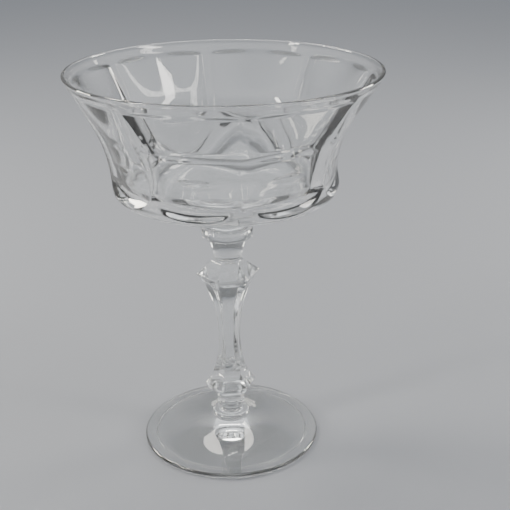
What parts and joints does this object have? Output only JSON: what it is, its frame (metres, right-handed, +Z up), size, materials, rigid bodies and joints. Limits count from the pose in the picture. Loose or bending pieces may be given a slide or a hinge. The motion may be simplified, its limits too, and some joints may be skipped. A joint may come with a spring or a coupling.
{
  "type": "champagne coupe glass",
  "caption": "Cut crystal champagne coupe: flared bowl with flat cut panels, six-sided baluster stem with small collars, and a wide round foot.",
  "frame": {"origin": "centre of the plane that the foot's contact ring stands on", "axes": "+Z up along the stem to the rim; the bowl's first rib is 7.5 degrees round from +X, and +Y points away from the viewer's side"},
  "size_m": [0.108, 0.108, 0.141],
  "materials": {
    "bowl_crystal": "clear fire-polished crystal with cut and polished panels",
    "stem_crystal": "clear cut and polished crystal",
    "foot_crystal": "clear polished crystal, lightly worn on the contact ring"
  },
  "bodies": {
    "root": {"bowl": "bowl_crystal", "bowl_merese": "stem_crystal", "stem": "stem_crystal", "foot_merese": "stem_crystal", "foot": "foot_crystal"}
  },
  "joints": []
}
